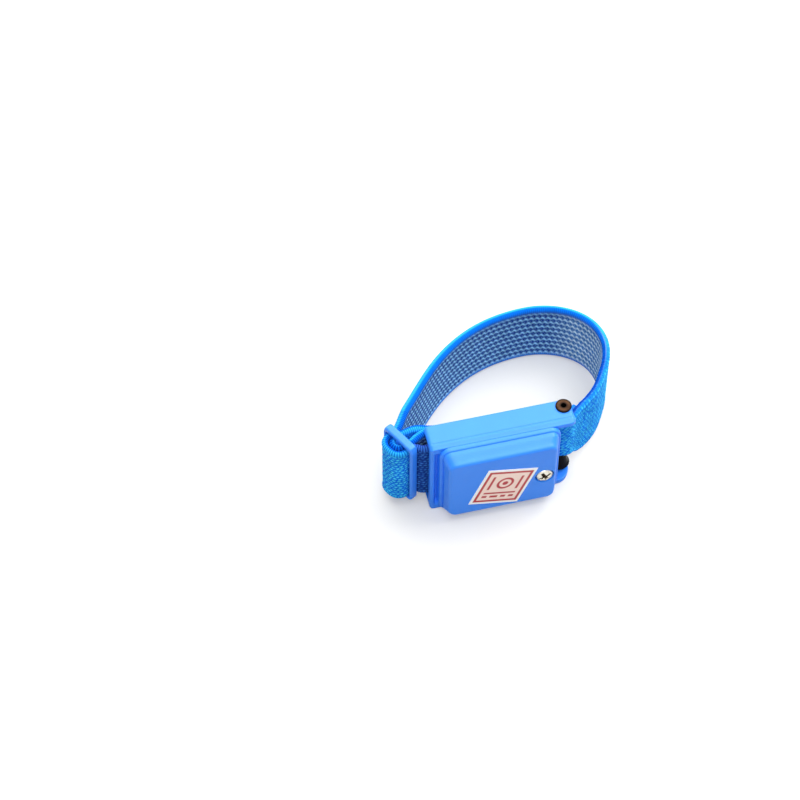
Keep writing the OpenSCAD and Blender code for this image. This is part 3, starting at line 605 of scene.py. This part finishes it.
slide_blue = moulded("slide blue", (0.035, 0.255, 0.95), (0.16, 0.46, 1.0), 0.3, grain=0.2)
soften("slide", "adjuster", 0.11, 5, slide_blue, "adjuster", thin_slide)

# --- Band -------------------------------------------------------------------------------------
# The band is knitted elastic. Its outer face is plain blue, its inner face carries rows of
# conductive yarn, and both edges are closely overcast. The route follows the hardware it rounds.
BAND_W, BAND_T, FOLD_T, ROOT_W = 20.0, 1.7, 1.3, 14.0
LOOP_REACH, LOOP_SWELL, STUB_L = 38.7, 17.2, 4.3
BAND_GAP, LAYER_GAP, FINE = 0.2, 0.15, 6
EAR_RADIUS, ROLL_RADIUS, ROLL_IN, ROLL_Y, BAR_W, BAR_T = 2.1, 1.4, 2.5, 2.4, 1.5, 2.3
mouth_x, rear_y = channel_low[0], channel_high[1]
pivot = np.array((channel_high[0] - EAR_RADIUS, rear_y - EAR_RADIUS))
roll = np.array((mouth_x + ROLL_IN, ROLL_Y))
root_radius = sleeve_r + BAND_GAP + BAND_T / 2
leave = np.array((math.sin(slide_turn), math.cos(slide_turn)))


def heading_of(degrees):
    """A direction in plan."""
    return np.array((math.cos(math.radians(degrees)), math.sin(math.radians(degrees))))


def along(s, n):
    """A point in the slide's own directions: along its frame and through it."""
    return slide_mid + s * frame_way + n * leave


def through(points):
    """A smooth curve through points, without its last one."""
    p, route = [np.array(q, float) for q in points], []
    for i in range(len(p) - 1):
        a, b, c, d = p[max(i - 1, 0)], p[i], p[i + 1], p[min(i + 2, len(p) - 1)]
        for t in np.arange(4 * FINE) / (4 * FINE):
            route.append(0.5 * (2 * b + (c - a) * t + (2 * a - 5 * b + 4 * c - d) * t * t
                                + (3 * b - a - 3 * c + d) * t ** 3))
    return route


def bezier(a, b, c, d, steps):
    """A cubic curve without its last point."""
    route = []
    for i in range(steps * FINE):
        t = i / (steps * FINE)
        u = 1 - t
        route.append(u ** 3 * a + 3 * u * u * t * b + 3 * u * t * t * c + t ** 3 * d)
    return route


def arc(centre, radius, start, end, steps):
    """Points on an arc between two headings, its last one included."""
    turns = np.linspace(start, end, steps * FINE + 1)
    return [centre + radius * heading_of(a) for a in turns]


inner_n = BAR_T / 2 + BAND_GAP + FOLD_T / 2
inner_s = BAR_W / 2 + BAND_GAP + FOLD_T / 2
outer_s, outer_n = inner_s + FOLD_T + LAYER_GAP, inner_n + FOLD_T + LAYER_GAP
turn_radius = ROLL_RADIUS + BAND_GAP + BAND_T / 2
back_y = roll[1] + turn_radius
near_y = roll[1] - turn_radius
stub_y = back_y + BAND_T + LAYER_GAP
stub_route = through([
    (mouth_x + STUB_L, stub_y), (mouth_x + 0.349 * STUB_L, stub_y), (mouth_x - 1.6, stub_y - 0.05),
    along(-inner_s - 0.1, 2.1), along(-inner_s, 0.4), along(-inner_s * 0.8, -inner_n * 0.75),
    along(0, -inner_n - 0.05), along(inner_s * 0.8, -inner_n * 0.75), along(inner_s, 0),
    along(inner_s + 0.3, 1.7), (mouth_x - 1.6, back_y - 1), (mouth_x + 0.6, back_y), (roll[0], back_y)])
turn_route = arc(roll, turn_radius, 90, -90, 10)
over_route = through([
    (roll[0] - 1.2, near_y), (mouth_x - 0.8, near_y + 0.05), (mouth_x - 1.8, near_y + 0.45),
    (mouth_x - 2.9, near_y + 1.1), along(outer_s + 0.15, 0.1), along(outer_s + 0.1, -inner_n),
    along(outer_s * 0.62, -outer_n), along(0, -outer_n - 0.35), along(-outer_s * 0.62, -outer_n),
    along(-outer_s - 0.1, -inner_n), along(-outer_s, 0.2)])
window = along(-outer_s, 0.2)
shoulder = slide_mid + LOOP_REACH * np.array((0.1163, 0.2817))
far = np.array((pivot[0] + 0.6, LOOP_REACH))
swell = np.array((pivot[0] + LOOP_SWELL, 0.6227 * LOOP_REACH))
root = pivot + np.array((4.4, 2.1))
climb, fall = heading_of(50), heading_of(34)
loop_route = (
    bezier(window, window + 2.2 * leave, shoulder - 4 * climb, shoulder, 8)
    + bezier(shoulder, shoulder + 0.3798 * LOOP_REACH * climb, far - (0.4961 * LOOP_REACH, 0), far, 22)
    + bezier(far, far + (0.4593 * LOOP_SWELL, 0), swell + (0, 0.2481 * LOOP_REACH), swell, 14)
    + bezier(swell, swell - (0, 0.1938 * LOOP_REACH), root + 0.2093 * LOOP_REACH * fall, root, 14))
lap = BAND_T + LAYER_GAP
lap_mid = root + lap * np.array((-fall[1], fall[0]))
lap_start = lap_mid - 0.7 * fall
wrap_end = pivot + root_radius * heading_of(98)
root_route = (
    through([root, root + (-1.4, -1.6), pivot + root_radius * heading_of(-34)])
    + arc(pivot, root_radius, -34, -258, 15)[:-1]
    + bezier(wrap_end, wrap_end + 1.2 * heading_of(8), lap_start - 1.2 * fall, lap_start, 5)
    + [lap_start + (lap_mid + fall - lap_start) * t for t in np.linspace(0, 1, 2 * FINE + 1)])

parts = [stub_route, turn_route, over_route, loop_route, root_route]
route = np.array([point for part in parts for point in part])
ends = np.cumsum([len(part) for part in parts])
travelled = np.concatenate(([0], np.cumsum(np.linalg.norm(np.diff(route, axis=0), axis=1))))
keep = np.concatenate(([True], np.diff(travelled) > 1e-6))
fold_at, turn_at, over_at, loop_at = (travelled[e - 1] for e in ends[:4])
length = travelled[-1]
STEP = 0.14
marks = np.linspace(0, length, int(length / STEP) + 1)
line = np.column_stack([np.interp(marks, travelled[keep], route[keep][:, k]) for k in (0, 1)])


def blurred(padded, reach, width):
    """A row of points, padded by reach at both ends, blurred along its length."""
    weights = np.exp(-0.5 * (np.arange(-reach, reach + 1) / width) ** 2)
    weights /= weights.sum()
    return np.column_stack([np.convolve(padded[:, k], weights, "valid") for k in (0, 1)])


line = blurred(np.concatenate((line[:1] - (line[1] - line[0]) * np.arange(6, 0, -1)[:, None], line,
                               line[-1:] + (line[-1] - line[-2]) * np.arange(1, 7)[:, None])), 6, 2.2)
direction = np.gradient(line, axis=0)
direction /= np.linalg.norm(direction, axis=1)[:, None]
side = np.column_stack((-direction[:, 1], direction[:, 0]))

# The loop swells out a little and flares beside the root, and the doubled lap is tucked in
BELLY_OUT, FLARE_OUT, lap_shift = 0.42, 0.75, np.array((0.45, -0.68))
from_root = marks - loop_at
belly = ease(marks - over_at, 10, 30) * (1 - ease(from_root, -8, 4))
flare = ease(from_root, -15, -3) * (1 - ease(from_root, 0.5, 5.5))
line = (line + side * (BELLY_OUT * belly + FLARE_OUT * flare)[:, None]
        + ease(from_root, 12, 16)[:, None] * lap_shift)
near_root = ease(from_root, -8, -4) * (1 - ease(from_root, 3, 6))
line = line + near_root[:, None] * (blurred(np.pad(line, ((24, 24), (0, 0)), "edge"), 24, 9.0) - line)

# In height, the loop sags towards its far end, and its root is gathered and slumps beside the ear
LOW_EDGE, ROOT_SLUMP, LAP_DROP, STUB_DROP = 3.25, 2.0, 2.7, 2.0
gathered = ease(from_root, -5.4, 7.4)
sag_start = 0.1628 * LOOP_REACH
sag = LOW_EDGE * np.clip((line[:, 1] - sag_start) / (LOOP_REACH - sag_start), 0, 1)
slump = ROOT_SLUMP * np.exp(-((from_root - 1.8) / 3.6) ** 2)
low_edge = LOW_EDGE - sag + gathered * (BAND_W - ROOT_W) - slump
high_edge = (LOW_EDGE - sag + BAND_W - LAP_DROP * ease(from_root, 12.5, 17)
             - STUB_DROP * (1 - ease(marks, 0, 7)))
squeezed = np.where(
    marks < fold_at, ease(marks, 4.5, 9.0) * (1 - ease(marks - fold_at, -8.5, -4.5)),
    (marks >= turn_at) * ease(marks - turn_at, 1.5, 4.5) * (1 - ease(marks - over_at, 0.3, 2.5)))
half = (BAND_T + (FOLD_T - BAND_T) * squeezed) / 2

FACE_ROWS, EDGE_ROWS = 96, 12
corner_h = BAND_T / 2
flat_rows = np.linspace(corner_h, BAND_W - corner_h, FACE_ROWS)
curl = np.linspace(0, math.pi, EDGE_ROWS + 2)[1:-1]
# Round the section: outer face upwards, upper edge, inner face downwards, lower edge
section_s = np.concatenate((np.ones(FACE_ROWS), np.cos(curl), -np.ones(FACE_ROWS), -np.cos(curl)))
section_v = np.concatenate((flat_rows, BAND_W - corner_h + corner_h * np.sin(curl), flat_rows[::-1],
                            corner_h - corner_h * np.sin(curl)))
is_edge = np.concatenate((np.zeros(FACE_ROWS), np.sin(curl), np.zeros(FACE_ROWS), np.sin(curl)))
lift_v = np.concatenate((np.zeros(FACE_ROWS), np.sin(curl), np.zeros(FACE_ROWS), -np.sin(curl)))
dice = np.random.default_rng(7)
jitter = dice.random((64, 512))

U, V = np.meshgrid(marks, section_v, indexing="ij")
# Outer face: short light loops, brick-laid, each a little askew
ROW, DASH = 0.95, 1.0
wander = 0.09 * np.sin(math.tau * (U / 3.3 + V / 4.7)) + 0.07 * np.sin(math.tau * (U / 1.57 - V / 3.1))
rows = V / ROW + wander
row = np.floor(rows).astype(int)
off_line = rows - row - 0.5
places = U / DASH + 0.5 * (row % 2) + 0.25 * jitter[row % 64, 3]
which = np.floor(places).astype(int)
spread_at = (places - which - 0.5) + 0.3 * (jitter[row % 64, which % 512] - 0.5)
strength = 0.6 + 0.5 * jitter[(row * 7) % 64, (which * 3) % 512]
outer_knit = np.exp(-((off_line + 0.18 * spread_at) / 0.27) ** 2 - (spread_at / 0.36) ** 2) * strength
outer_knit = np.clip(outer_knit + 0.10 * (0.5 + 0.5 * np.sin(math.tau * (U / 0.6 + V / 1.9))), 0, 1)
# Inner face: rows of conductive yarn, in waves
YARN_ROW, YARN_WAVE, WEAVE = 1.85, 1.55, 0.5
yarn_row = (BAND_W - V - 1.75) / YARN_ROW
nearest = np.round(yarn_row)
phase = math.tau * (U / YARN_WAVE + 0.5 * (nearest % 2))
yarn = np.exp(-((yarn_row - nearest - 0.15 * np.sin(phase)) / 0.23) ** 2)
yarn *= 0.75 + 0.25 * np.cos(phase + 0.9)
between = (0.5 + 0.5 * np.sin(math.tau * (U / 0.78 + 0.5 * np.floor(V / WEAVE)))) * (
    0.25 + 0.25 * np.cos(math.tau * V / WEAVE))
inner_knit = np.maximum(yarn, between)
# Edges: overcast thread, wound closely
RIB_PITCH = 0.56
ribs = 0.5 + 0.5 * np.sin(math.tau * U / RIB_PITCH + 0.8 * section_s)
ribs = np.where((U > over_at + 8) & (U < loop_at + 6), 0.45 + 0.4 * ribs, ribs)
right_leg = ease(from_root, -32, -16)[:, None]
ribs = ribs + right_leg * (0.1 + 0.5 * outer_knit - ribs)
facing = section_s[None, :] * np.ones_like(U)
at_edge = is_edge[None, :] ** 0.6 * np.ones_like(U)
rim_width = np.where(facing > 0, 1.2 - 0.7 * right_leg, 1.45)
from_edge = np.minimum(V, BAND_W - V)
edge_share = np.clip(np.maximum(at_edge, np.exp(-(from_edge / rim_width) ** 4)), 0, 1)
rim_share = edge_share * (1 - 0.8 * (facing > -0.3) * right_leg)
OUTER_RELIEF, INNER_RELIEF, RIB_RELIEF, RIM_SWELL = 0.13, 0.12, 0.08, 0.03
face_relief = np.where(facing > 0, OUTER_RELIEF * outer_knit, INNER_RELIEF * inner_knit)
height = face_relief * (1 - edge_share) + (RIB_RELIEF * ribs + RIM_SWELL) * edge_share
raised = np.where(facing > 0, outer_knit, inner_knit) * (1 - edge_share) + ribs * edge_share

# Pinches fan out from the place where the root is sewn, and the gathered width lies in folds
TACK_V, PINCH_DEPTH, FOLD_DEPTH, BEAD = 17.0, 0.16, 0.34, 0.13
from_tack, above_tack = U - (loop_at - 0.5), V - TACK_V
pinch_reach = np.hypot(from_tack, above_tack)
pinch = np.clip(np.cos(9 * np.arctan2(above_tack, -from_tack) + 0.6), 0, 1) ** 3
pinch *= ease(pinch_reach, 0.4, 1.4) * (1 - ease(pinch_reach, 2.5, 7.0)) * (1 - at_edge)
pinch *= (facing > 0) & (from_tack < 0)
height -= PINCH_DEPTH * pinch
raised = raised * (1 - 0.8 * pinch)
from_pivot = np.linalg.norm(line - pivot, axis=1)
folding = gathered * (from_root < -0.5) * ease(from_pivot, 3.2, 5.0)
folds = FOLD_DEPTH * np.sin(math.tau * V / BAND_W * 2.6 + 0.7) * folding[:, None]
bead = BEAD * np.exp(-((from_edge - 0.8) / 0.6) ** 2)
s_out = section_s[None, :] * (half[:, None] + height + bead) + folds
v_out = V + lift_v[None, :] * height
z_out = np.maximum(low_edge[:, None] + v_out / BAND_W * (high_edge - low_edge)[:, None], 0.02)
xy = line[:, None, :] + side[:, None, :] * s_out[:, :, None]
surface = np.concatenate((xy, z_out[:, :, None]), axis=2)

# The run between the slide and the channel is darkened with painted shade, and the inner face
# where the loop turns back is lightened with painted light
painted_shade = ease(line[:, 0] - mouth_x, -4.6, -2.6) * ease(marks - turn_at, -3.5, 1.5) * (marks < over_at)
painted_shade = painted_shade[:, None] * np.ones_like(U)
painted_light = ease(from_root, -44, -34) * (1 - ease(from_root, -20, -12))
painted_light = painted_light[:, None] * (facing < 0)

# The knit's finish takes its tones from the loops themselves
knit, tree, shader = finish_of("elastic knit", Roughness=0.8, IOR=1.45, Specular_IOR_Level=0.04)
lifted, rim, light_share, shade_share = (painted(tree, name) for name in ("raised", "rim", "painted_light", "painted_shade"))
spread = put(tree, "ShaderNodeUVMap", uv_map="band_map").outputs[0]
fuzz = put(tree, "ShaderNodeTexNoise", {"Vector": spread, "Scale": 5.5, "Detail": 5.0}).outputs[0]
patch = put(tree, "ShaderNodeTexNoise", {"Vector": spread, "Scale": 0.35, "Detail": 3.0}).outputs[0]
uneven = calc(tree, "ADD", calc(tree, "MULTIPLY_ADD", lifted, 1.3, -0.06),
              calc(tree, "MULTIPLY_ADD", fuzz, 0.9, -0.45))
outside = put(tree, "ShaderNodeMapRange", {"Value": painted(tree, "facing"), "From Min": -0.25,
                                          "From Max": 0.25}).outputs[0]
outer_colour = mix(tree, uneven, (0.0, 0.115, 0.80), (0.085, 0.76, 1.0))
inner_colour = mix(tree, uneven, (0.0, 0.022, 0.25), (0.33, 0.69, 1.0))
# Painted light: where the loop turns back, the inner face is mixed towards a pale knit
painted_lit_colour = mix(tree, uneven, (0.02, 0.20, 0.56), (0.85, 1.0, 1.0))
inner_colour = mix(tree, calc(tree, "MULTIPLY", light_share, 0.75), inner_colour, painted_lit_colour)
rim_outer = mix(tree, uneven, (0.0, 0.14, 0.62), (0.035, 0.48, 1.0))
rim_inner = mix(tree, uneven, (0.0, 0.04, 0.36), (0.002, 0.17, 0.80))
faces_colour = mix(tree, outside, inner_colour, outer_colour)
rims_colour = mix(tree, outside, rim_inner, rim_outer)
whole = mix(tree, rim, faces_colour, rims_colour)
shade = put(tree, "ShaderNodeMapRange", {"Value": patch, "From Min": 0.3, "From Max": 0.7,
                                        "To Min": 0.86, "To Max": 1.08}).outputs[0]
# Painted shade: the run by the channel mouth is mixed towards a dark knit
whole = mix(tree, calc(tree, "MULTIPLY", shade_share, 0.85), whole,
            mix(tree, uneven, (0.001, 0.010, 0.13), (0.05, 0.13, 0.60)))
tinted = put(tree, "ShaderNodeVectorMath", {0: whole}, operation="SCALE")
tree.links.new(shade, tinted.inputs["Scale"])
tree.links.new(tinted.outputs[0], shader["Base Color"])
relief(tree, shader, fuzz, 0.00003)


def band_piece(name, first, last):
    """A length of the band between two rings, closed at both ends."""
    rings = surface[first:last + 1]
    vertices, faces = loft(list(rings))
    piece = add_piece(name, vertices, faces, knit, None, "elastic", "elastic_band", sharp=70)
    mesh = piece.data
    for key, values in (("facing", facing), ("raised", raised), ("rim", rim_share), ("painted_shade", painted_shade),
                        ("painted_light", painted_light)):
        layer = mesh.attributes.new(key, "FLOAT", "POINT")
        layer.data.foreach_set("value", values[first:last + 1].astype(np.float32).ravel())
    grid = np.stack((U[first:last + 1], V[first:last + 1] + 40 * (facing[first:last + 1] < 0)), axis=2)
    corner = np.empty(len(mesh.loops), np.int32)
    mesh.loops.foreach_get("vertex_index", corner)
    layer = mesh.uv_layers.new(name="band_map")
    layer.data.foreach_set("uv", grid.reshape(-1, 2)[corner].astype(np.float32).ravel())
    return piece


def ring_where(test, start):
    """The first ring past a mark for which a test of its place holds."""
    return next(i for i in range(int(start), len(line)) if test(*line[i]))


at_window = int(over_at / STEP)
at_left = ring_where(lambda x, y: x > 0.5, at_window)
at_far = ring_where(lambda x, y: x > 21.5, at_left)
fold_piece = band_piece("band_fold", 0, at_window)
left_piece = band_piece("band_loop_left", at_window, at_left)
middle_piece = band_piece("band_loop_middle", at_left, at_far)
right_piece = band_piece("band_loop_right", at_far, len(line) - 1)
z = 0.013
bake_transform(fold_piece)
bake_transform(left_piece)
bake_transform(middle_piece)
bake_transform(right_piece)

# --- Stitching --------------------------------------------------------------------------------
# Bar tacks in navy polyester thread close the doubled end and the gathered root.
thread = moulded("navy thread", (0.012, 0.035, 0.22), (0.06, 0.12, 0.45), 0.6, grain=0.08,
                 depth=0.00003)
dress("stub_stitching", thread)
tack_low, tack_high = (np.array(corner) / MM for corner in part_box("root_stitching"))
THREAD_R, STITCHES, STITCH_STEPS, STITCH_HALF, TACK_DROP, TACK_END = 0.16, 12, 6, 0.62, 2.9, 0.2
tack_foot, tack_head = tack_low[2] + TACK_END, tack_high[2] - TACK_DROP - TACK_END
tack_mid = (tack_low + tack_high)[:2] / 2 + lap_shift
tack_points = []
for t in np.linspace(0, 1, STITCHES * STITCH_STEPS + 1):
    spot = tack_mid + fall * STITCH_HALF * math.sin(math.tau * t * STITCHES)
    tack_points.append((spot[0], spot[1], tack_foot + (tack_head - tack_foot) * t))
tack_points = np.array(tack_points)
heading = np.gradient(tack_points, axis=0)
heading /= np.linalg.norm(heading, axis=1)[:, None]
off_wall = np.array((-fall[1], fall[0], 0.0))
tack_rings = []
for point, ahead in zip(tack_points, heading):
    sideways = np.cross(ahead, off_wall)
    sideways /= np.linalg.norm(sideways)
    tack_rings.append(np.array([point + THREAD_R * (math.cos(a) * off_wall + math.sin(a) * sideways)
                                for a in np.linspace(0, math.tau, 8, endpoint=False)]))
add_piece("root_tack", *loft(tack_rings), thread, "strap_end", "thread", "root_stitching", sharp=80)

# --- Floor, light and camera --------------------------------------------------------------------
# A pale floor stands under a wide soft lamp, with a weaker fill from the front and a small window
# at the right. The floor glows a little for the camera, so that its paper stays dull to the light.
floor_mesh = bpy.data.meshes.new("floor")
FLOOR_HALF = 3.0
floor_corners = [(x * FLOOR_HALF, y * FLOOR_HALF, 0) for x, y in ((-1, -1), (1, -1), (1, 1), (-1, 1))]
floor_mesh.from_pydata(floor_corners, [], [(0, 1, 2, 3)])
floor = bpy.data.objects.new("floor", floor_mesh)
floor.location.z = -0.00005
bpy.context.scene.collection.objects.link(floor)
floor_paper = bpy.data.materials.new("floor paper")
floor_paper.use_nodes = True
tree = floor_paper.node_tree
tree.nodes.clear()
paper = put(tree, "ShaderNodeBsdfDiffuse", {"Color": (0.58, 0.578, 0.565, 1)})
glow = put(tree, "ShaderNodeEmission", {"Color": (1, 1, 1, 1), "Strength": 0.29})
seen = put(tree, "ShaderNodeLightPath").outputs["Is Camera Ray"]
nothing = put(tree, "ShaderNodeEmission", {"Strength": 0.0})
lifted_light = put(tree, "ShaderNodeMixShader", {0: seen, 1: nothing.outputs[0], 2: glow.outputs[0]})
both = put(tree, "ShaderNodeAddShader", {0: paper.outputs[0], 1: lifted_light.outputs[0]})
put(tree, "ShaderNodeOutputMaterial", {"Surface": both.outputs[0]})
floor_mesh.materials.append(floor_paper)

world = bpy.data.worlds.new("studio")
bpy.context.scene.world = world
world.use_nodes = True
tree = world.node_tree
tree.nodes.clear()
path = put(tree, "ShaderNodeLightPath").outputs
seen = calc(tree, "MAXIMUM", path["Is Camera Ray"],
            calc(tree, "MAXIMUM", path["Is Glossy Ray"], path["Is Transmission Ray"]))
white = put(tree, "ShaderNodeBackground", {"Color": (1, 1, 1, 1), "Strength": 1.0})
ambient = put(tree, "ShaderNodeBackground", {"Color": (1, 1, 0.98, 1), "Strength": 0.28})
chosen = put(tree, "ShaderNodeMixShader", {0: seen, 1: ambient.outputs[0], 2: white.outputs[0]})
put(tree, "ShaderNodeOutputWorld", {"Surface": chosen.outputs[0]})


def soft_lamp(name, place, aim, size, power):
    """A square soft lamp that points at a place."""
    data = bpy.data.lights.new(name, "AREA")
    data.shape, data.size, data.energy = "SQUARE", size, power
    lamp = bpy.data.objects.new(name, data)
    bpy.context.scene.collection.objects.link(lamp)
    lamp.location = place
    lamp.rotation_euler = (Vector(aim) - Vector(place)).to_track_quat("-Z", "Y").to_euler()


middle = (0.0, 0.012, 0.012)
soft_lamp("window", (0.42, 0.10, 0.50), middle, 0.5, 2.4)
soft_lamp("overhead", (0.11, 0.43, 0.67), middle, 1.2, 10.6)
soft_lamp("front fill", (-0.10, -0.34, 0.82), middle, 0.7, 4.2)

camera_data = bpy.data.cameras.new("camera")
camera_data.lens, camera_data.sensor_width = 109.8, 36.0
camera_data.clip_start = 0.01
camera = bpy.data.objects.new("camera", camera_data)
bpy.context.scene.collection.objects.link(camera)
elevation, yaw, distance = math.radians(54), math.radians(13.6), 0.653
aim = np.array((-0.01834, 0.03208, 0.0))
camera.location = aim + distance * np.array((-math.sin(yaw) * math.cos(elevation),
                                             -math.cos(yaw) * math.cos(elevation), math.sin(elevation)))
camera.rotation_euler = (math.pi / 2 - elevation, 0, -yaw)
bpy.context.scene.camera = camera
bpy.context.scene.view_settings.view_transform = "Standard"
